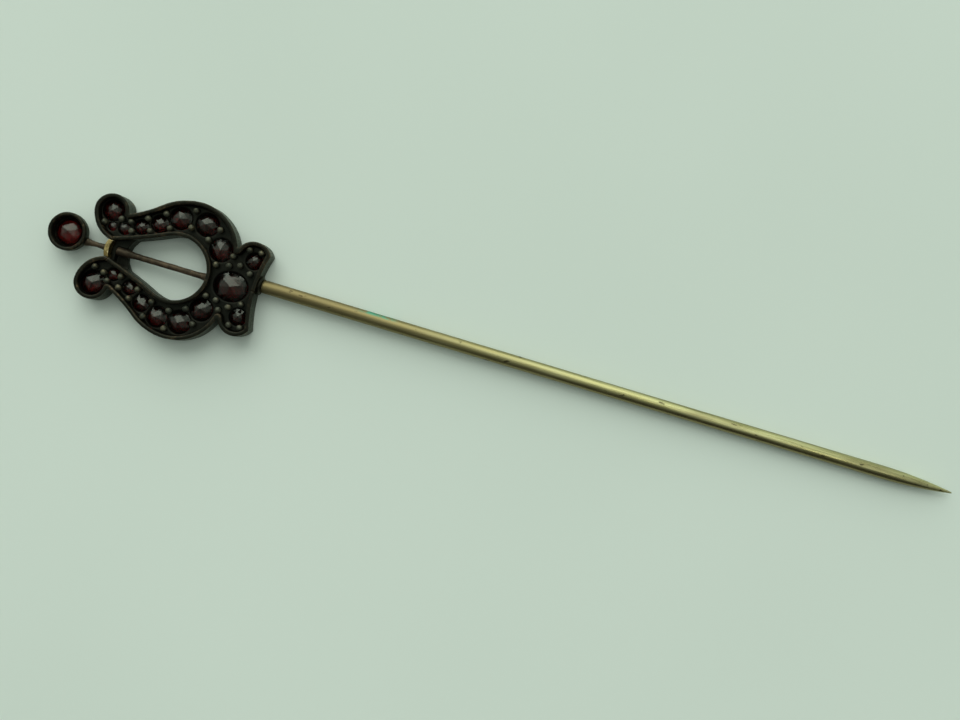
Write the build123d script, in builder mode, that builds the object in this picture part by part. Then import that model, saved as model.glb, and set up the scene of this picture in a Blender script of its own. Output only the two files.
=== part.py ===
from build123d import *
from math import cos, pi, sin
import os

# A garnet-set stick pin (hat pin) with a lyre-shaped head, in millimetres.
#
# X runs along the stem to its tip, Z comes out of the front of the head, and Y goes from the
# left arm to the right arm, as seen from the front with the finial up. The origin is on the
# stem's axis where the stem leaves the head. The lyre's centre line lies beside the stem's
# axis, because the stem was soldered on a little off centre. Points of the head are (along X,
# out from that centre line) on the right arm. The left arm's rims are their mirror image.

# Heights in the head
head_centre_y = -0.58
head_back_z = -0.75
head_depth = 1.7
plate_thickness = 1.15
rim_width = 0.3
head_reach = 40

# Outer edge of the lyre
yoke_middle = (-11.75, 0)
yoke_corner = (-11.6, 0.65)
neck_middle = (-12.66, 1.32)
scroll_start = (-13.23, 2.5)
scroll_middle = (-12.05, 4.01)
arm_crease = (-10.7, 2.84)
arm_middle = (-9.7, 3.38)
shoulder_start = (-8.6, 4.12)
shoulder_middle = (-7.39, 4.86)
body_top = (-6.0, 5.19)
foot_notch = (-2.32, 2.6)
foot_middle = (-1.05, 3.58)
foot_corner = (0.15, 2.87)
base_middle = (-0.25, 0)

# Opening between the arms, and the wall that stands round it
bowl_x = -6.4
bowl_radius = 2.38
bowl_half_angle = 115
wall_end = (-11.3, 0.64)
web_shoulder = (-9.85, 1.12)
web_corner = (-10.15, 0.66)
web_middle = (-10.25, 0)
web_far_corner = (-11.8, 1.42)

# Garnets, as (x, out from the centre line, diameter)
right_scroll_stone = (-12.05, 2.8, 1.6)
right_arm_stones = [
    (-11.8, 1.65, 0.65),
    (-10.9, 1.75, 0.95),
    (-9.7, 2.2, 1.15),
    (-8.45, 2.8, 1.35),
    (-7.1, 3.65, 1.7),
    (-5.1, 3.75, 1.75),
    (-3.6, 2.25, 1.75),
]
left_scroll_stone = (-12.0, -2.75, 1.85)
left_arm_stones = [
    (-10.7, -1.75, 0.95),
    (-9.3, -2.35, 1.1),
    (-8.15, -3.2, 1.3),
    (-6.75, -3.85, 1.55),
    (-5.05, -3.75, 1.75),
    (-3.75, -2.4, 1.7),
]
right_foot_stone = (-1.0, 2.15, 1.25)
left_foot_stone = (-1.0, -2.15, 1.3)
base_stone_place = (-2.15, -0.15)
base_stone_length = 2.6
base_stone_width = 2.2
finial_stone_diameter = 2.1

# Rose cut: a short girdle, a ring of six corners half way in, and a point
girdle_height = 0.15
crown_share = 0.27
ring_share = 0.58
ring_rise = 0.58
seat_depth = 0.2
seat_clearance = 0.02
seat_hole_share = 0.62

# Grains: pins through the plate whose round heads hold the stones down
grain_shank_radius = 0.14
grain_head_radius = 0.24
grain_head_height = 0.28
right_scroll_grains = [(-12.35, 1.8), (-11.2, 2.35)]
right_arm_grains = [
    (-10.45, 2.35),
    (-10.25, 1.7),
    (-9.35, 2.95),
    (-8.95, 2.09),
    (-8.15, 3.65),
    (-7.6, 2.7),
    (-6.1, 4.5),
    (-6.1, 3.2),
    (-4.0, 3.65),
    (-4.65, 2.7),
    (-3.6, 1.1),
]
left_scroll_grains = [(-12.1, -1.55), (-11.35, -1.8), (-10.95, -2.34)]
left_arm_grains = [
    (-10.05, -1.75),
    (-10.0, -2.57),
    (-9.05, -3.12),
    (-8.58, -2.3),
    (-7.68, -4.1),
    (-7.35, -2.9),
    (-5.95, -4.5),
    (-5.95, -3.15),
    (-4.0, -3.6),
    (-4.8, -2.65),
    (-3.65, -1.3),
]
base_grains = [
    (-2.55, 2.05),
    (-2.65, 1.3),
    (-1.85, 1.55),
    (-1.5, 2.85),
    (-0.6, 2.88),
    (-1.0, 1.15),
    (-2.85, -1.4),
    (-1.85, -1.65),
    (-1.0, -1.2),
    (-2.5, -2.05),
    (-1.45, -2.9),
    (-0.6, -2.88),
]

# Yoke strip between the two necks
yoke_inner_corner = (-11.24, 0.64)
yoke_inner_middle = (-11.38, 0)

# String bar down the middle of the opening
string_z = 0.15
string_radius = 0.23
string_start_x = -11.0
string_start_radius = 0.34
string_start_flare_x = -9.3
string_end_x = -3.9
string_end_radius = 0.42
string_end_flare_x = -4.75

# Finial cup, which sits a little to the right of its neck, and the neck
finial_place = (-14.8, 0.32)
cup_radius = 1.43
cup_back_radius = 1.0
cup_bore_radius = 1.14
cup_hole_radius = 0.72
cup_back_z = -0.65
cup_widest_z = 0.25
cup_top_z = 0.75
cup_lip_height = 0.13
cup_seat_z = 0.0
neck_z = 0.05
neck_waist = (-12.5, 0.19)
neck_cup_end = (-13.62, 0.4)
neck_yoke_end = (-11.65, 0.35)

# Stem, its tenon and the collar that it is soldered into
stem_radius = 0.5
stem_length = 53.7
point_length = 5.6
point_radius = 0.055
tenon_radius = 0.3
tenon_length = 0.5
collar_radius = 0.74
collar_front_radius = 0.62
collar_length = 0.25
solder_gap = 0.02

plate_top_z = head_back_z + plate_thickness
girdle_z = plate_top_z - seat_depth
head_back = Plane(origin=(0, head_centre_y, head_back_z))
head_front = Plane(origin=(0, head_centre_y, plate_top_z))
string_level = Plane(origin=(0, head_centre_y, string_z))
neck_level = Plane(origin=(0, head_centre_y, neck_z))
cup_axis = Axis((finial_place[0], head_centre_y + finial_place[1], 0), (0, 0, 1))
cup_section = Plane(origin=cup_axis.position, x_dir=(1, 0, 0), z_dir=(0, -1, 0))

os.makedirs("parts", exist_ok=True)


def finish(part, name):
    """Names a finished piece and writes it to its own file."""
    part.label = name
    export_step(part, f"parts/{name}.step")


def mirrored(point):
    """The same point on the other arm."""
    return (point[0], -point[1])


# --- Outlines of the head ---

# The whole lyre: necks, scrolls, arms, body, feet and base
with BuildSketch(head_back) as lyre:
    with BuildLine():
        ThreePointArc(yoke_corner, neck_middle, scroll_start)
        ThreePointArc(scroll_start, scroll_middle, arm_crease)
        ThreePointArc(arm_crease, arm_middle, shoulder_start)
        shoulder_edge = ThreePointArc(shoulder_start, shoulder_middle, body_top)
        TangentArc(shoulder_edge @ 1, foot_notch, tangent=shoulder_edge % 1)
        ThreePointArc(foot_notch, foot_middle, foot_corner)
        mirror(about=Plane.XZ)
        ThreePointArc(foot_corner, base_middle, mirrored(foot_corner))
        ThreePointArc(mirrored(yoke_corner), yoke_middle, yoke_corner)
    make_face()

# What lies inside the outer rim
with BuildSketch(head_back) as channel:
    add(lyre.sketch_local)
    offset(amount=-rim_width, kind=Kind.ARC, mode=Mode.REPLACE)

# The strip that closes the yoke between the two necks
with BuildSketch(head_back) as yoke:
    with BuildLine():
        ThreePointArc(mirrored(yoke_corner), yoke_middle, yoke_corner)
        Line(yoke_corner, yoke_inner_corner)
        ThreePointArc(yoke_inner_corner, yoke_inner_middle, mirrored(yoke_inner_corner))
        Line(mirrored(yoke_inner_corner), mirrored(yoke_corner))
    make_face()

# What lies inside the wall round the opening, as far as the yoke
with BuildSketch(head_back) as bowl:
    with BuildLine():
        bowl_arc = CenterArc((bowl_x, 0), bowl_radius, -bowl_half_angle, 2 * bowl_half_angle)
        right_side = TangentArc(bowl_arc @ 1, wall_end, tangent=bowl_arc % 1)
        mirror(right_side, about=Plane.XZ)
        Line(wall_end, mirrored(wall_end))
    make_face()

# The opening itself, which leaves a web of plate towards the yoke
with BuildSketch(head_back) as opening:
    add(bowl.sketch_local)
    with BuildLine():
        Polyline(web_corner, web_shoulder, web_far_corner, mirrored(web_far_corner))
        Polyline(mirrored(web_far_corner), mirrored(web_shoulder), mirrored(web_corner))
        ThreePointArc(mirrored(web_corner), web_middle, web_corner)
    make_face(mode=Mode.SUBTRACT)

# --- Rims and walls of the head ---

# The outer rim is two strips, which meet at the middle of the base and at the yoke
rim_sides = {"outer_rim_right": Align.MIN, "outer_rim_left": Align.MAX}
rim_strips = []
for name, side in rim_sides.items():
    with BuildPart() as outer_rim:
        with BuildSketch(head_back):
            add(lyre.sketch_local)
            add(channel.sketch_local, mode=Mode.SUBTRACT)
            add(yoke.sketch_local, mode=Mode.SUBTRACT)
            Rectangle(head_reach, head_reach, align=(Align.CENTER, side), mode=Mode.INTERSECT)
        extrude(amount=head_depth)
        with BuildSketch(Plane.YZ.offset(-tenon_length)):
            Circle(tenon_radius + solder_gap)
        extrude(amount=tenon_length, mode=Mode.SUBTRACT)
    finish(outer_rim.part, name)
    rim_strips.append(outer_rim.part)

with BuildPart() as yoke_strip:
    with BuildSketch(head_back):
        add(yoke.sketch_local)
    extrude(amount=head_depth)
finish(yoke_strip.part, "yoke_strip")

# The wall round the opening stands on the plate and runs on to the yoke at both ends
with BuildPart() as inner_rim:
    with BuildSketch(head_front):
        add(bowl.sketch_local)
        offset(amount=rim_width, kind=Kind.ARC, mode=Mode.REPLACE)
        add(bowl.sketch_local, mode=Mode.SUBTRACT)
        add(channel.sketch_local, mode=Mode.INTERSECT)
        add(yoke.sketch_local, mode=Mode.SUBTRACT)
        with Locations(wall_end):
            Rectangle(2 * rim_width, wall_end[1], align=(Align.CENTER, Align.MAX), mode=Mode.SUBTRACT)
        with Locations(mirrored(wall_end)):
            Rectangle(2 * rim_width, wall_end[1], align=(Align.CENTER, Align.MIN), mode=Mode.SUBTRACT)
    extrude(amount=head_depth - plate_thickness)
finish(inner_rim.part, "inner_rim")

# One wire from the web to the far end of the opening, flared into its solder at both ends
with BuildPart() as string_bar:
    with BuildSketch(string_level):
        with BuildLine():
            Polyline(
                (string_end_x, string_end_radius),
                (string_end_x, 0),
                (string_start_x, 0),
                (string_start_x, string_start_radius),
                (web_middle[0], string_start_radius),
            )
            start_flare = TangentArc(
                (string_start_flare_x, string_radius),
                (web_middle[0], string_start_radius),
                tangent=(-1, 0),
            )
            end_flare = TangentArc(
                (string_end_flare_x, string_radius),
                (string_end_x, string_end_radius),
                tangent=(1, 0),
            )
            Line(start_flare @ 0, end_flare @ 0)
        make_face()
    revolve(axis=Axis((0, head_centre_y, string_z), (1, 0, 0)))
    with BuildSketch(head_back):
        add(bowl.sketch_local)
    extrude(amount=head_depth, mode=Mode.INTERSECT)
finish(string_bar.part, "string_bar")

# --- Garnets ---


def girdle_point(turn, length, width):
    """A point of an oval, a share of a full turn round from its length."""
    return (length / 2 * cos(2 * pi * turn), width / 2 * sin(2 * pi * turn))


def rose_cut_points(place, base_z, length, width):
    """The corners of a rose-cut stone: twelve round its girdle, a ring of six, and its point."""
    crown_height = crown_share * width
    corners = [(0, 0, girdle_height + crown_height)]
    for corner in range(12):
        x, y = girdle_point(corner / 12, length, width)
        corners.append((x, y, 0))
        corners.append((x, y, girdle_height))
    for corner in range(6):
        x, y = girdle_point((corner + 0.5) / 6, ring_share * length, ring_share * width)
        corners.append((x, y, girdle_height + ring_rise * crown_height))
    return [(x + place[0], y + head_centre_y + place[1], z + base_z) for x, y, z in corners]


def make_garnet(name, place, base_z, length, width):
    """Makes one stone and keeps it for export."""
    with BuildPart() as garnet:
        ConvexPolyhedron(rose_cut_points(place, base_z, length, width))
    finish(garnet.part, name)
    return garnet.part


round_stones = {
    "garnet_scroll_right": right_scroll_stone,
    "garnet_scroll_left": left_scroll_stone,
    "garnet_foot_right": right_foot_stone,
    "garnet_foot_left": left_foot_stone,
}
for number, stone in enumerate(right_arm_stones, start=1):
    round_stones[f"garnet_arm_right_{number}"] = stone
for number, stone in enumerate(left_arm_stones, start=1):
    round_stones[f"garnet_arm_left_{number}"] = stone
for name, (x, y, diameter) in round_stones.items():
    make_garnet(name, (x, y), girdle_z, diameter, diameter)
make_garnet("garnet_base", base_stone_place, girdle_z, base_stone_length, base_stone_width)
make_garnet(
    "garnet_finial",
    finial_place,
    cup_seat_z,
    finial_stone_diameter,
    finial_stone_diameter,
)

# --- Grains ---

grain_groups = {
    "grains_scroll_right": right_scroll_grains,
    "grains_arm_right": right_arm_grains,
    "grains_scroll_left": left_scroll_grains,
    "grains_arm_left": left_arm_grains,
    "grains_base": base_grains,
}
for name, places in grain_groups.items():
    with BuildPart(head_front) as grains:
        with BuildSketch(head_back):
            with Locations(places):
                Circle(grain_shank_radius)
        extrude(amount=plate_thickness + grain_head_height)
        with Locations([(x, y, grain_head_height) for x, y in places]):
            Sphere(grain_head_radius)
    finish(grains.part, name)

# --- Plate, drilled through behind each stone and for each grain ---

with BuildPart(head_front) as seat_plate:
    with BuildSketch(head_back):
        add(channel.sketch_local)
        add(yoke.sketch_local, mode=Mode.SUBTRACT)
        add(opening.sketch_local, mode=Mode.SUBTRACT)
    extrude(amount=plate_thickness)
    for x, y, diameter in round_stones.values():
        with Locations((x, y)):
            CounterBoreHole(
                radius=seat_hole_share * diameter / 2,
                counter_bore_radius=diameter / 2 + seat_clearance,
                counter_bore_depth=seat_depth,
            )
    for share, depth in ((1, seat_depth), (seat_hole_share, plate_thickness)):
        with BuildSketch(head_front):
            with Locations(base_stone_place):
                Ellipse(
                    share * base_stone_length / 2 + seat_clearance,
                    share * base_stone_width / 2 + seat_clearance,
                )
        extrude(amount=-depth, mode=Mode.SUBTRACT)
    for places in grain_groups.values():
        with Locations(places):
            Hole(grain_shank_radius + seat_clearance)
    with BuildSketch(Plane(origin=(string_start_x, head_centre_y, string_z), z_dir=(1, 0, 0))):
        Circle(string_start_radius + solder_gap)
        Rectangle(
            2 * (string_start_radius + solder_gap),
            plate_thickness,
            align=(Align.CENTER, Align.MIN),
        )
    extrude(amount=-string_start_x + web_middle[0] + rim_width, mode=Mode.SUBTRACT)
finish(seat_plate.part, "seat_plate")

# --- Finial ---

with BuildPart() as finial_cup:
    with BuildSketch(cup_section):
        with BuildLine():
            lip_z = cup_top_z - cup_lip_height
            Polyline(
                (cup_back_radius, cup_back_z),
                (cup_hole_radius, cup_back_z),
                (cup_hole_radius, cup_seat_z),
                (cup_bore_radius, cup_seat_z),
                (cup_bore_radius, lip_z),
            )
            ThreePointArc(
                (cup_bore_radius, lip_z),
                ((cup_bore_radius + cup_radius) / 2, cup_top_z),
                (cup_radius, lip_z),
            )
            Line((cup_radius, lip_z), (cup_radius, cup_widest_z))
            TangentArc(
                (cup_radius, cup_widest_z),
                (cup_back_radius, cup_back_z),
                tangent=(0, -1),
            )
        make_face()
    revolve(axis=cup_axis)
finish(finial_cup.part, "finial_cup")

# The neck's two ends are shaped to the cup and to the yoke strip
with BuildPart() as finial_neck:
    with BuildSketch(neck_level):
        with BuildLine():
            ThreePointArc(neck_cup_end, neck_waist, neck_yoke_end)
            Polyline(neck_yoke_end, (neck_yoke_end[0], 0), (neck_cup_end[0], 0), neck_cup_end)
        make_face()
    revolve(axis=Axis((0, head_centre_y, neck_z), (1, 0, 0)))
    add(finial_cup.part, mode=Mode.SUBTRACT)
    add(yoke_strip.part, mode=Mode.SUBTRACT)
finish(finial_neck.part, "finial_neck")

# --- Stem ---

with BuildPart() as stem:
    with BuildSketch(Plane.XY):
        with BuildLine():
            Polyline(
                (stem_length, 0),
                (-tenon_length, 0),
                (-tenon_length, tenon_radius),
                (0, tenon_radius),
                (0, stem_radius),
                (stem_length - point_length, stem_radius),
            )
            TangentArc(
                (stem_length - point_length, stem_radius),
                (stem_length - point_radius, point_radius),
                tangent=(1, 0),
            )
            CenterArc((stem_length - point_radius, 0), point_radius, 0, 90)
        make_face()
    revolve(axis=Axis.X)
finish(stem.part, "stem")

with BuildPart() as stem_collar:
    with BuildSketch(Plane.XY):
        with BuildLine():
            Polyline(
                (0, collar_front_radius),
                (0, tenon_radius + solder_gap),
                (-rim_width, tenon_radius + solder_gap),
                (-rim_width, collar_radius),
                (-collar_length / 2, collar_radius),
            )
            TangentArc(
                (-collar_length / 2, collar_radius),
                (0, collar_front_radius),
                tangent=(1, 0),
            )
        make_face()
    revolve(axis=Axis.X)
    for strip in rim_strips:
        add(strip, mode=Mode.SUBTRACT)
finish(stem_collar.part, "stem_collar")
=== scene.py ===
import math
import random

import bmesh
import bpy
from mathutils import Matrix, Vector, noise


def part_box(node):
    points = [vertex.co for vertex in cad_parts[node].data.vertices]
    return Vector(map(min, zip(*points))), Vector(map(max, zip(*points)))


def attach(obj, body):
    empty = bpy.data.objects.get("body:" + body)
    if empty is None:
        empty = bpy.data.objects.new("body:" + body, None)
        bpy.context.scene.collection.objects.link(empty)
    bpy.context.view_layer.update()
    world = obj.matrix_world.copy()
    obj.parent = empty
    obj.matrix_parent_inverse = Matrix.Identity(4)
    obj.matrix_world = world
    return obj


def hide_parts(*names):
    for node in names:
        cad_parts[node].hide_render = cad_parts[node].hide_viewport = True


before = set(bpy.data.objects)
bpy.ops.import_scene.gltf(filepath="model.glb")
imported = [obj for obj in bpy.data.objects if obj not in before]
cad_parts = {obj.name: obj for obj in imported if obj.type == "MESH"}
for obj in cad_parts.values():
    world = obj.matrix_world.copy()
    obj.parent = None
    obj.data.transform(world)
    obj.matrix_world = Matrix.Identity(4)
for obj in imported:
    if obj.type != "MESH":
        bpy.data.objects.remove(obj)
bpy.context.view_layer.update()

# Everything is in metres in the CAD model's frame: X along the stem to its tip, Z out of the head's face.
MM = 0.001

# --- How the pin lies and how it is seen ---

# The back of the head and the stem's underside touch the table together, so it slopes a little.
head_low, head_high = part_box("outer_rim_right")
stem_low, stem_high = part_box("stem")
# The stem is ground to its point over this length.
POINT_LENGTH = 5.6 * MM
TABLE_SLOPE = (stem_low.z - head_low.z) / (stem_high.x - POINT_LENGTH - head_high.x)
TABLE_NORMAL = Vector((-TABLE_SLOPE, 0, 1)).normalized()

# The camera looks straight down at the table from over this place along and across the pin.
CAMERA_OVER = Vector((17.1, -0.61)) * MM
CAMERA_HEIGHT = 75.2 * MM
CAMERA_TURN = math.radians(16.7)
CAMERA_LENS = 37.5
CAMERA_SENSOR = 36
CLIP_NEAR = 1 * MM
CLIP_FAR = 10


def table_height(x):
    """Height of the table's surface under a place along the pin."""
    return head_low.z + TABLE_SLOPE * (x - head_high.x)


view_turn = Matrix.Rotation(-math.atan(TABLE_SLOPE), 3, "Y") @ Matrix.Rotation(CAMERA_TURN, 3, "Z")
view_right = view_turn @ Vector((1, 0, 0))
view_up = view_turn @ Vector((0, 1, 0))
table_point = Vector((CAMERA_OVER.x, CAMERA_OVER.y, table_height(CAMERA_OVER.x)))

scene = bpy.context.scene
camera_data = bpy.data.cameras.new("camera")
camera_data.lens = CAMERA_LENS
camera_data.sensor_width = CAMERA_SENSOR
camera_data.clip_start = CLIP_NEAR
camera_data.clip_end = CLIP_FAR
camera = bpy.data.objects.new("camera", camera_data)
camera_place = table_point + TABLE_NORMAL * CAMERA_HEIGHT
camera.matrix_world = Matrix.LocRotScale(camera_place, view_turn.to_quaternion(), None)
scene.collection.objects.link(camera)
scene.camera = camera

scene.view_settings.view_transform = "Standard"
scene.view_settings.look = "None"


# --- Mesh helpers ---

# The CAD's meshes are split along their sharp edges. Vertices nearer than this are one.
WELD = 0.0001 * MM
# Unevenness of the worked metal: a finer swell on a broad one, in a different place for each piece
FINE_SHARE = 0.4
FINE_RATIO = 2.7
SEED_STEPS = (7.3, 3.1, 5.7)


def add_piece(name, mesh, material, slot, *nodes):
    """Puts a finished mesh in the scene as a piece that stands for CAD nodes."""
    piece = bpy.data.objects.new(name, mesh)
    scene.collection.objects.link(piece)
    mesh.materials.clear()
    mesh.materials.append(material)
    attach(piece, "root")
    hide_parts(*nodes)


def shade(mesh, smooth=True):
    mesh.polygons.foreach_set("use_smooth", [smooth] * len(mesh.polygons))


def softened(node, voxel, rounding, roughness, pitch, seed):
    """A copy of a CAD node's mesh with its edges rounded, as hand-worked metal has them.

    voxel, roughness and pitch are in millimetres. rounding is the number of smoothing rounds,
    roughness the height of the unevenness, and pitch its width. The result stays in the node's box.
    """
    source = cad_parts[node].data.copy()
    bm = bmesh.new()
    bm.from_mesh(source)
    bmesh.ops.remove_doubles(bm, verts=bm.verts, dist=WELD)
    bm.to_mesh(source)
    bm.free()
    source.transform(Matrix.Scale(1 / MM, 4))
    worker = bpy.data.objects.new(node + "_worker", source)
    scene.collection.objects.link(worker)
    remesh = worker.modifiers.new("remesh", "REMESH")
    remesh.mode = "VOXEL"
    remesh.voxel_size = voxel
    smooth = worker.modifiers.new("smooth", "SMOOTH")
    smooth.factor = 0.5
    smooth.iterations = rounding
    graph = bpy.context.evaluated_depsgraph_get()
    mesh = bpy.data.meshes.new_from_object(worker.evaluated_get(graph))
    bpy.data.objects.remove(worker)
    low, high = (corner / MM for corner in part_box(node))
    shift = Vector([step * seed for step in SEED_STEPS])
    normals = [vertex.normal.copy() for vertex in mesh.vertices]
    moved = []
    for vertex, normal in zip(mesh.vertices, normals):
        place = vertex.co / pitch + shift
        swell = noise.noise(place) + FINE_SHARE * noise.noise(place * FINE_RATIO)
        point = vertex.co + normal * roughness * swell
        moved.extend(min(max(value, least), most) for value, least, most in zip(point, low, high))
    mesh.vertices.foreach_set("co", moved)
    mesh.transform(Matrix.Scale(MM, 4))
    shade(mesh)
    return mesh


# --- Materials ---


class Nodes:
    """Short names for building a material's node tree."""

    def __init__(self, name):
        self.material = bpy.data.materials.new(name)
        self.material.use_nodes = True
        self.tree = self.material.node_tree
        self.tree.nodes.clear()
        output = self.tree.nodes.new("ShaderNodeOutputMaterial")
        self.shader = self.tree.nodes.new("ShaderNodeBsdfPrincipled")
        self.join(self.shader.outputs["BSDF"], output.inputs["Surface"])
        place = self.tree.nodes.new("ShaderNodeTexCoord")
        scale = self.tree.nodes.new("ShaderNodeVectorMath")
        scale.operation = "SCALE"
        scale.inputs["Scale"].default_value = 1 / MM
        self.join(place.outputs["Object"], scale.inputs[0])
        self.millimetres = scale.outputs["Vector"]

    def join(self, source, socket):
        self.tree.links.new(source, socket)

    def stretched(self, x, y, z):
        """The place in millimetres, with each axis scaled."""
        node = self.tree.nodes.new("ShaderNodeVectorMath")
        node.operation = "MULTIPLY"
        node.inputs[1].default_value = (x, y, z)
        self.join(self.millimetres, node.inputs[0])
        return node.outputs["Vector"]

    def axes(self):
        """The place in millimetres, as one output for each axis."""
        node = self.tree.nodes.new("ShaderNodeSeparateXYZ")
        self.join(self.millimetres, node.inputs["Vector"])
        return node.outputs

    def noise(self, per_mm, detail, vector=None):
        node = self.tree.nodes.new("ShaderNodeTexNoise")
        node.inputs["Scale"].default_value = per_mm
        node.inputs["Detail"].default_value = detail
        self.join(vector or self.millimetres, node.inputs["Vector"])
        return node.outputs["Fac"]

    def ramp(self, value, low, high, out_low=0.0, out_high=1.0):
        """value rescaled so that low gives out_low and high gives out_high, clamped."""
        node = self.tree.nodes.new("ShaderNodeMapRange")
        node.interpolation_type = "SMOOTHSTEP"
        node.inputs["From Min"].default_value = low
        node.inputs["From Max"].default_value = high
        node.inputs["To Min"].default_value = out_low
        node.inputs["To Max"].default_value = out_high
        self.join(value, node.inputs["Value"])
        return node.outputs["Result"]

    def math(self, operation, first, second):
        node = self.tree.nodes.new("ShaderNodeMath")
        node.operation = operation
        for socket, value in zip(node.inputs, (first, second)):
            if isinstance(value, (int, float)):
                socket.default_value = value
            else:
                self.join(value, socket)
        return node.outputs["Value"]

    def mix(self, share, first, second):
        """A colour between two, each a colour or an output."""
        node = self.tree.nodes.new("ShaderNodeMix")
        node.data_type = "RGBA"
        self.join(share, node.inputs["Factor"])
        for socket, colour in zip((node.inputs["A"], node.inputs["B"]), (first, second)):
            if isinstance(colour, tuple):
                socket.default_value = (*colour, 1)
            else:
                self.join(colour, socket)
        return node.outputs["Result"]

    def edges(self, low, high):
        """A mask of the sharp outer edges, where metal wears."""
        geometry = self.tree.nodes.new("ShaderNodeNewGeometry")
        return self.ramp(geometry.outputs["Pointiness"], low, high)

    def bump(self, height, depth_mm, strength):
        node = self.tree.nodes.new("ShaderNodeBump")
        node.inputs["Strength"].default_value = strength
        node.inputs["Distance"].default_value = depth_mm * MM
        self.join(height, node.inputs["Height"])
        self.join(node.outputs["Normal"], self.shader.inputs["Normal"])

    def set(self, socket, value):
        if isinstance(value, (int, float)):
            self.shader.inputs[socket].default_value = value
        elif isinstance(value, tuple):
            self.shader.inputs[socket].default_value = (*value, 1)
        else:
            self.join(value, self.shader.inputs[socket])


# Pointiness from where an edge starts to wear to where it's worn through
METAL_EDGES = (0.515, 0.58)
GARNET_EDGES = (0.54, 0.64)
METAL_TINT = (0.85, 0.95, 0.7)


def old_metal(name, body, mottle, worn, metal=0.3, wear=0.8, rough=(0.3, 0.5), shine=0.2):
    """Tarnished metal, mottled, with a brighter colour showing through on stretches of its edges.

    body, mottle and worn are colours, and rough is the range of the roughness.
    """
    nodes = Nodes(name)
    patches = nodes.ramp(nodes.noise(1.6, 4), 0.35, 0.7)
    colour = nodes.mix(patches, body, mottle)
    stretches = nodes.ramp(nodes.noise(0.5, 2), 0.42, 0.62, 0.2, 1)
    broken = nodes.math("MULTIPLY", nodes.ramp(nodes.noise(6, 3), 0.3, 0.6), stretches)
    edge = nodes.math("MULTIPLY", nodes.edges(*METAL_EDGES), broken)
    colour = nodes.mix(nodes.math("MULTIPLY", edge, wear), colour, worn)
    nodes.set("Base Color", colour)
    nodes.set("Metallic", metal)
    nodes.set("Specular IOR Level", shine)
    nodes.set("Specular Tint", METAL_TINT)
    nodes.set("Roughness", nodes.ramp(nodes.noise(9, 3), 0.3, 0.7, *rough))
    nodes.bump(nodes.noise(14, 4), 0.02, 0.5)
    return nodes.material


rim_metal = old_metal(
    "rim_metal", body=(0.0042, 0.0047, 0.0034), mottle=(0.0098, 0.0094, 0.0063), worn=(0.14, 0.095, 0.05)
)
floor_metal = old_metal(
    "floor_metal", body=(0.003, 0.0032, 0.0028), mottle=(0.008, 0.0074, 0.0056), worn=(0.024, 0.018, 0.011)
)
gilt_metal = old_metal(
    "gilt_metal", body=(0.2, 0.145, 0.05), mottle=(0.56, 0.44, 0.19), worn=(0.75, 0.64, 0.33),
    metal=0.95, rough=(0.22, 0.4), shine=0.5
)
wire_metal = old_metal(
    "wire_metal", body=(0.03, 0.022, 0.015), mottle=(0.085, 0.06, 0.038), worn=(0.16, 0.115, 0.07)
)
grain_metal = old_metal(
    "grain_metal", body=(0.024, 0.029, 0.023), mottle=(0.075, 0.077, 0.055), worn=(0.26, 0.19, 0.08),
    metal=0.5, wear=0.35, shine=0.5
)

BRASS_DARK = (0.42, 0.4, 0.17)
BRASS_BRIGHT = (0.57, 0.57, 0.29)
# Tarnish brown, also used as the painted shade on the stem's side away from the window
BRASS_TARNISH_AND_SHADE = (0.17, 0.125, 0.055)
NICK_BROWN = (0.05, 0.04, 0.02)
VERDIGRIS = (0.1, 0.34, 0.22)
GARNET_DARK = (0.12, 0.006, 0.007)
GARNET_LIGHT = (0.36, 0.013, 0.015)
GARNET_IOR = 1.76
# Clean garnet would mirror more: these stones are worn and dull
GARNET_TINT = (0.58, 0.62, 0.53)


def stem_brass():
    """Drawn brass with fine lengthwise lines and a trace of verdigris.

    It is browner along its top line, and browner and duller near the head. The side away from the window is
    darker as well: painted shade for the dark room mirrored there, on top of some tarnish.
    """
    nodes = Nodes("stem_brass")
    axes = nodes.axes()
    lines = nodes.noise(1.0, 4, nodes.stretched(0.25, 9, 9))
    colour = nodes.mix(nodes.ramp(lines, 0.3, 0.7), BRASS_DARK, BRASS_BRIGHT)
    patches = nodes.ramp(nodes.noise(0.5, 4, nodes.stretched(0.5, 2, 2)), 0.4, 0.75, 0, 0.5)
    # Painted shade: the side away from the window is darkened for the dark room it mirrors, mixed with some
    # tarnish.
    far_side_shade = nodes.ramp(axes["Y"], -0.3, 0.1, 0.75, 0)
    top_line = nodes.ramp(axes["Y"], 0.36, 0.47, 0, 0.6)
    near_head = nodes.ramp(axes["X"], 2, 36, 0.85, 0.05)
    tarnish_and_shade = patches
    for cause in (far_side_shade, top_line, near_head):
        tarnish_and_shade = nodes.math("MAXIMUM", tarnish_and_shade, cause)
    colour = nodes.mix(tarnish_and_shade, colour, BRASS_TARNISH_AND_SHADE)
    nicks = nodes.ramp(nodes.noise(2.2, 2, nodes.stretched(0.7, 1.3, 1.3)), 0.66, 0.72, 0, 0.8)
    colour = nodes.mix(nicks, colour, NICK_BROWN)
    along = nodes.math("MULTIPLY", nodes.ramp(axes["X"], 7.2, 8.2), nodes.ramp(axes["X"], 9.6, 10.6, 1, 0))
    crumbs = nodes.ramp(nodes.noise(2.5, 3), 0.38, 0.55)
    beside = nodes.math("MULTIPLY", nodes.ramp(axes["Y"], 0.2, 0.4), crumbs)
    colour = nodes.mix(nodes.math("MULTIPLY", along, beside), colour, VERDIGRIS)
    nodes.set("Base Color", colour)
    nodes.set("Metallic", 1.0)
    polish = nodes.ramp(lines, 0.25, 0.75, 0.2, 0.38)
    nodes.set("Roughness", nodes.math("ADD", polish, nodes.math("MULTIPLY", near_head, 0.25)))
    nodes.bump(nodes.noise(2.0, 3, nodes.stretched(0.3, 8, 8)), 0.012, 0.5)
    return nodes.material


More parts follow.
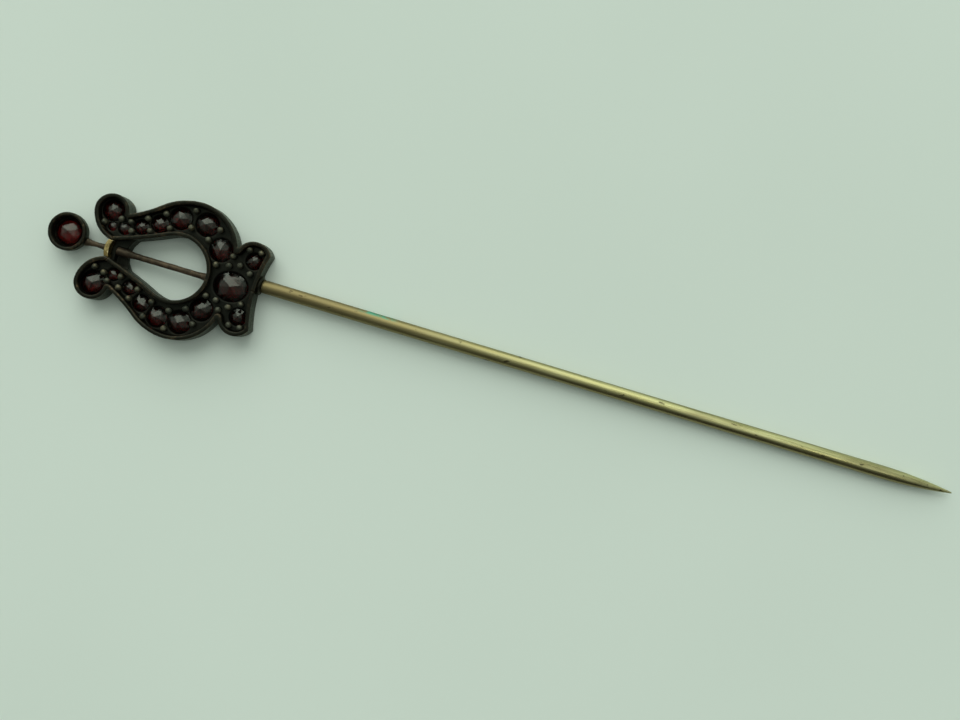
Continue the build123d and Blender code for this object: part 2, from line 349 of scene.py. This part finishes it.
def garnet_glass():
    """Deep red stone, rubbed all over and more along its facet edges."""
    nodes = Nodes("garnet_glass")
    cloud = nodes.ramp(nodes.noise(1.2, 2), 0.35, 0.7)
    nodes.set("Base Color", nodes.mix(cloud, GARNET_DARK, GARNET_LIGHT))
    rubbed = nodes.ramp(nodes.noise(8, 3), 0.45, 0.75, 0.13, 0.2)
    rubbed_edges = nodes.math("MULTIPLY", nodes.edges(*GARNET_EDGES), 0.3)
    nodes.set("Roughness", nodes.math("MAXIMUM", rubbed, rubbed_edges))
    nodes.set("IOR", GARNET_IOR)
    nodes.set("Specular Tint", GARNET_TINT)
    nodes.set("Transmission Weight", 1.0)
    nodes.bump(nodes.noise(5, 3), 0.01, 0.1)
    return nodes.material


stem_material = stem_brass()
garnet_material = garnet_glass()

# --- Metal of the head ---

# Each node's piece: its name, finish, slot, voxel, rounding, unevenness and the unevenness's pitch
metal_pieces = {
    "outer_rim_right": ("rim_right", rim_metal, "dark_gilt", 0.06, 3, 0.025, 1.5),
    "outer_rim_left": ("rim_left", rim_metal, "dark_gilt", 0.06, 3, 0.025, 1.5),
    "inner_rim": ("opening_wall", rim_metal, "dark_gilt", 0.06, 3, 0.02, 1.2),
    "seat_plate": ("plate", floor_metal, "dark_gilt", 0.06, 2, 0.006, 0.3),
    "yoke_strip": ("yoke", gilt_metal, "gilt_strip", 0.05, 3, 0.01, 0.5),
    "string_bar": ("string", wire_metal, "worn_wire", 0.04, 3, 0.015, 0.6),
    "finial_cup": ("cup", rim_metal, "dark_gilt", 0.06, 3, 0.02, 0.9),
    "finial_neck": ("neck", wire_metal, "dark_gilt", 0.04, 3, 0.015, 0.4),
    "stem_collar": ("collar", rim_metal, "dark_gilt", 0.05, 3, 0.01, 0.5),
}
for seed, (node, (name, finish, slot, *shape)) in enumerate(metal_pieces.items()):
    add_piece(name, softened(node, *shape, seed), finish, slot, node)

# --- Stem ---


def stem_mesh():
    """The pin: a drawn wire, faintly uneven, ground to a point."""
    sides = 64
    rings = 360
    tip_rings = 6
    radius = (stem_high.y - stem_low.y) / 2
    centre_y = (stem_high.y + stem_low.y) / 2
    centre_z = (stem_high.z + stem_low.z) / 2
    tenon_radius = 0.3 * MM
    tip_radius = 0.055 * MM
    chamfer = 0.05 * MM
    shoulder_x = -0.001 * MM
    stations = [
        (stem_low.x, 0.0),
        (stem_low.x, tenon_radius),
        (shoulder_x, tenon_radius),
        (0, radius - chamfer),
    ]
    last_x = stem_high.x - tip_radius
    for ring in range(rings + 1):
        x = chamfer + (last_x - chamfer) * ring / rings
        ground = max(0, 1 - (last_x - x) / (POINT_LENGTH - tip_radius))
        stations.append((x, radius - (radius - tip_radius) * ground**2))
    for step in range(1, tip_rings + 1):
        turn = step / tip_rings * math.pi / 2
        stations.append((last_x + tip_radius * math.sin(turn), tip_radius * math.cos(turn)))
    # The wire swells a little along and round its length. The tenon and the point stay true.
    swell_length = 2.5 * MM
    swell_round = 1.5
    swell_height = 0.012
    smooth_radius = 0.35 * MM
    bm = bmesh.new()
    loops = []
    for x, r in stations:
        loop = []
        for side in range(sides):
            angle = 2 * math.pi * side / sides
            spot = Vector((x / swell_length, math.cos(angle) * swell_round, math.sin(angle) * swell_round))
            uneven = 1 + swell_height * noise.noise(spot) if r > smooth_radius else 1
            reach = min(r * uneven, radius)
            y = centre_y + reach * math.cos(angle)
            z = centre_z + reach * math.sin(angle)
            loop.append(bm.verts.new((x, y, z)))
        loops.append(loop)
    for one, two in zip(loops, loops[1:]):
        for side in range(sides):
            after = (side + 1) % sides
            bm.faces.new((one[side], one[after], two[after], two[side]))
    bmesh.ops.remove_doubles(bm, verts=bm.verts, dist=0.0005 * MM)
    bmesh.ops.recalc_face_normals(bm, faces=bm.faces)
    mesh = bpy.data.meshes.new("stem")
    bm.to_mesh(mesh)
    bm.free()
    shade(mesh)
    return mesh


add_piece("pin_stem", stem_mesh(), stem_material, "stem_brass", "stem")

# --- Garnets ---

# Each rose cut: a low girdle, a ring of corners part of the way up the crown, and a top point.
# Shares are of the stone's radius. Jitters are in steps between corners, and the corners also
# move in by up to JITTER_IN of the jitter.
GIRDLE_CORNERS = 12
GIRDLE_SHARE = 0.985
GIRDLE_HEIGHT = 0.15 * MM
GIRDLE_JITTER = 0.06
CROWN_CORNERS = 6
CROWN_SHARE = 0.57
CROWN_RISE = 0.58
CROWN_JITTER = 0.12
JITTER_IN = 0.25
TOP_SHARE = 0.07
CUT_SEED = 5


def stone_mesh(node, chance):
    """A rose-cut stone, cut a little unevenly by hand, in the space of its CAD node."""
    low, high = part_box(node)
    middle = (low + high) / 2
    half_x = (high.x - low.x) / 2
    half_y = (high.y - low.y) / 2
    height = high.z - low.z
    bm = bmesh.new()
    turn = chance.uniform(0, math.pi)

    def corner(angle, reach, level):
        x = middle.x + half_x * reach * math.cos(angle)
        y = middle.y + half_y * reach * math.sin(angle)
        bm.verts.new((x, y, level))

    def ring(count, share, level, offset, jitter):
        for step in range(count):
            angle = turn + 2 * math.pi * (step + offset + chance.uniform(-jitter, jitter)) / count
            reach = share * (1 - chance.uniform(0, jitter * JITTER_IN))
            corner(angle, reach, level)

    ring(GIRDLE_CORNERS, GIRDLE_SHARE, low.z, 0, GIRDLE_JITTER)
    ring(GIRDLE_CORNERS, GIRDLE_SHARE, low.z + GIRDLE_HEIGHT, 0, GIRDLE_JITTER)
    crown_level = low.z + GIRDLE_HEIGHT + CROWN_RISE * (height - GIRDLE_HEIGHT)
    ring(CROWN_CORNERS, CROWN_SHARE, crown_level, 0.5, CROWN_JITTER)
    lean = chance.uniform(0, 2 * math.pi)
    corner(lean, TOP_SHARE, high.z)
    bmesh.ops.convex_hull(bm, input=bm.verts)
    loose = [vertex for vertex in bm.verts if not vertex.link_faces]
    bmesh.ops.delete(bm, geom=loose, context="VERTS")
    bmesh.ops.dissolve_limit(bm, angle_limit=math.radians(1), verts=bm.verts, edges=bm.edges)
    mesh = bpy.data.meshes.new(node)
    bm.to_mesh(mesh)
    bm.free()
    shade(mesh, False)
    return mesh


chance = random.Random(CUT_SEED)
for node in sorted(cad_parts):
    if node.startswith("garnet_"):
        name = node.replace("garnet_", "stone_")
        add_piece(name, stone_mesh(node, chance), garnet_material, "garnet", node)

# --- Grains ---

GRAIN_WELD = 0.001 * MM
SHANK_RADIUS = 0.14 * MM
SHANK_SIDES = 20
# How far a head is filed down, and how its roundness varies
FILED = (0.8, 0.98)
HEAD_SHARE = 0.95
HEAD_SWELL = 0.12
HEAD_PITCH = 1.3
HEAD_SEEDS = 50


def grain_places(node):
    """The box of each separate grain in a CAD node."""
    bm = bmesh.new()
    bm.from_mesh(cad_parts[node].data)
    bmesh.ops.remove_doubles(bm, verts=bm.verts, dist=GRAIN_WELD)
    unseen = set(bm.verts)
    boxes = []
    while unseen:
        group = set()
        front = [unseen.pop()]
        while front:
            vertex = front.pop()
            group.add(vertex)
            for edge in vertex.link_edges:
                other = edge.other_vert(vertex)
                if other in unseen:
                    unseen.remove(other)
                    front.append(other)
        low = Vector([min(v.co[axis] for v in group) for axis in range(3)])
        high = Vector([max(v.co[axis] for v in group) for axis in range(3)])
        boxes.append((low, high))
    bm.free()
    return sorted(boxes, key=lambda box: (box[0].x, box[0].y))


def grains_mesh(node, chance):
    """Round-headed rivets, each filed and pressed a little differently."""
    bm = bmesh.new()
    for low, high in grain_places(node):
        middle = (low + high) / 2
        radius = (high.x - low.x) / 2
        head_z = high.z - radius
        head = bmesh.ops.create_icosphere(bm, subdivisions=4, radius=1)["verts"]
        filed = chance.uniform(*FILED)
        seed = Vector([chance.uniform(0, HEAD_SEEDS) for axis in range(3)])
        for vertex in head:
            swell = HEAD_SHARE + HEAD_SWELL * noise.noise(vertex.co * HEAD_PITCH + seed)
            point = vertex.co * min(swell, 1) * radius
            point.z = min(point.z * filed, radius)
            vertex.co = point + Vector((middle.x, middle.y, head_z))
        shank = bmesh.ops.create_cone(
            bm, cap_ends=True, segments=SHANK_SIDES,
            radius1=SHANK_RADIUS, radius2=SHANK_RADIUS, depth=head_z - low.z
        )["verts"]
        for vertex in shank:
            vertex.co += Vector((middle.x, middle.y, (head_z + low.z) / 2))
    mesh = bpy.data.meshes.new(node)
    bm.to_mesh(mesh)
    bm.free()
    shade(mesh)
    return mesh


for node in sorted(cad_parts):
    if node.startswith("grains_"):
        name = node.replace("grains_", "beads_")
        add_piece(name, grains_mesh(node, chance), grain_metal, "grain_metal", node)

# --- Table and light ---

TABLE_SIZE = 3.0
TABLE_COLOUR = (0.71, 0.8, 0.715)
TABLE_PALER = (0.74, 0.83, 0.745)


def table_top():
    mesh = bpy.data.meshes.new("table")
    corners = []
    for x, y in ((-1, -1), (1, -1), (1, 1), (-1, 1)):
        corner_x = x * TABLE_SIZE / 2
        corners.append((corner_x, y * TABLE_SIZE / 2, table_height(corner_x)))
    mesh.from_pydata(corners, [], [(0, 1, 2, 3)])
    nodes = Nodes("table_white")
    clouds = nodes.ramp(nodes.noise(0.02, 2), 0.3, 0.7)
    nodes.set("Base Color", nodes.mix(clouds, TABLE_COLOUR, TABLE_PALER))
    nodes.set("Specular IOR Level", 0.1)
    nodes.set("Roughness", 0.8)
    mesh.materials.append(nodes.material)
    table = bpy.data.objects.new("table", mesh)
    scene.collection.objects.link(table)


def soft_light(name, direction, distance, size, watts, colour):
    """A square area light that faces the middle of the view.

    The direction to it is given as (right, up, out) in the view.
    """
    data = bpy.data.lights.new(name, "AREA")
    data.shape = "SQUARE"
    data.size = size
    data.energy = watts
    data.color = colour
    light = bpy.data.objects.new(name, data)
    way = (view_right * direction[0] + view_up * direction[1] + TABLE_NORMAL * direction[2]).normalized()
    light.matrix_world = Matrix.LocRotScale(table_point + way * distance, way.to_track_quat("Z", "Y"), None)
    scene.collection.objects.link(light)


LIGHT_DISTANCE = 0.9
LAMP_SIZE = 0.1
LAMP_COLOUR = (1.0, 1.0, 0.97)

table_top()
soft_light("window", (-0.1, 0.8, 0.55), LIGHT_DISTANCE, 1.1, 6.2, (0.97, 1.0, 0.96))
soft_light("lamp_1", (0.37, 0.14, 1.0), LIGHT_DISTANCE, LAMP_SIZE, 0.2, LAMP_COLOUR)
soft_light("lamp_2", (0.43, -0.15, 1.0), LIGHT_DISTANCE, LAMP_SIZE, 0.15, LAMP_COLOUR)

# The room is brighter on the window's side, between two levels. SPREAD is how far round the
# change goes, as the cosine of the angle to the window's side.
ROOM_COLOUR = (0.9, 1.0, 0.93)
ROOM_DARK = 0.08
ROOM_BRIGHT = 0.8
SPREAD = 0.8
# The backdrop is seen as a plain pale one from every side.
BACKDROP_LEVEL = 0.6
world = bpy.data.worlds.new("room")
scene.world = world
world.use_nodes = True
room = world.node_tree.nodes
background = room["Background"]
background.inputs["Color"].default_value = (*ROOM_COLOUR, 1)
place = room.new("ShaderNodeTexCoord")
towards = room.new("ShaderNodeVectorMath")
towards.operation = "DOT_PRODUCT"
towards.inputs[1].default_value = view_up
level = room.new("ShaderNodeMapRange")
level.inputs["From Min"].default_value = -SPREAD
level.inputs["From Max"].default_value = SPREAD
level.inputs["To Min"].default_value = ROOM_DARK
level.inputs["To Max"].default_value = ROOM_BRIGHT
rays = room.new("ShaderNodeLightPath")
seen = room.new("ShaderNodeMix")
seen.inputs["B"].default_value = BACKDROP_LEVEL
links = world.node_tree.links
links.new(place.outputs["Generated"], towards.inputs[0])
links.new(towards.outputs["Value"], level.inputs["Value"])
links.new(rays.outputs["Is Camera Ray"], seen.inputs["Factor"])
links.new(level.outputs["Result"], seen.inputs["A"])
links.new(seen.outputs["Result"], background.inputs["Strength"])
